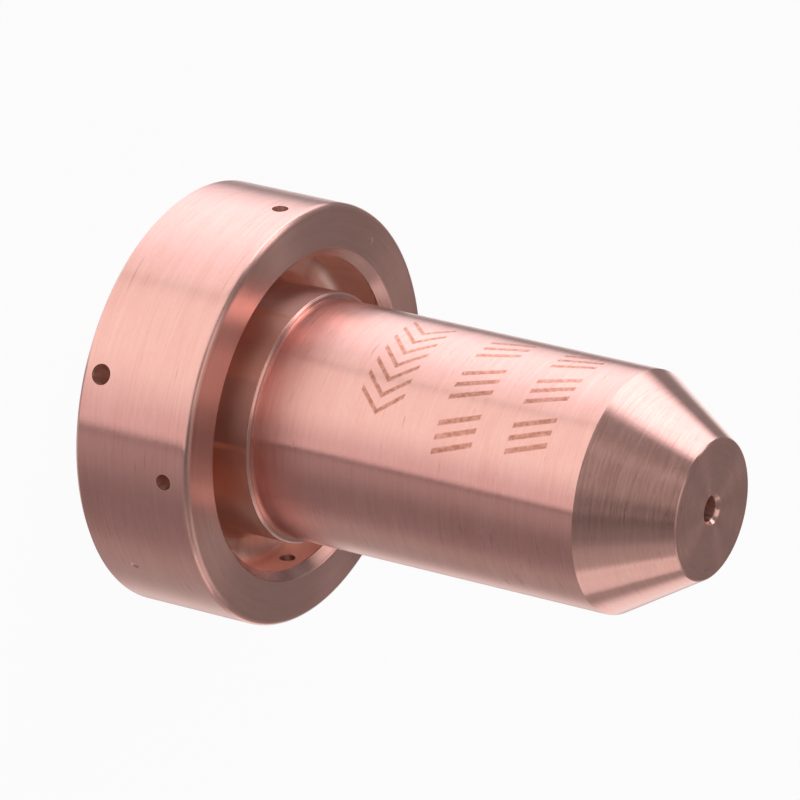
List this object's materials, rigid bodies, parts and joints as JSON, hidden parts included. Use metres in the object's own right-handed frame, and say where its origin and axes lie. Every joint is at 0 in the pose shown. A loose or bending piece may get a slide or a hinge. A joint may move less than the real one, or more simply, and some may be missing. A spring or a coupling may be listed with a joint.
{
  "type": "plasma torch nozzle",
  "caption": "Turned copper plasma cutting nozzle: flange with gas holes and a front groove, a plain barrel, and a coned nose with a small orifice in its flat tip.",
  "frame": {"origin": "centre of the flange's back face, which the nozzle stands on", "axes": "+Z along the turned axis, from the flange to the tip; +X and +Y across it, with the pictured side towards -Y"},
  "size_m": [0.0222, 0.0222, 0.0311],
  "materials": {
    "copper": "fine turned, bare copper"
  },
  "bodies": {
    "root": {"nozzle": "copper"}
  },
  "joints": []
}
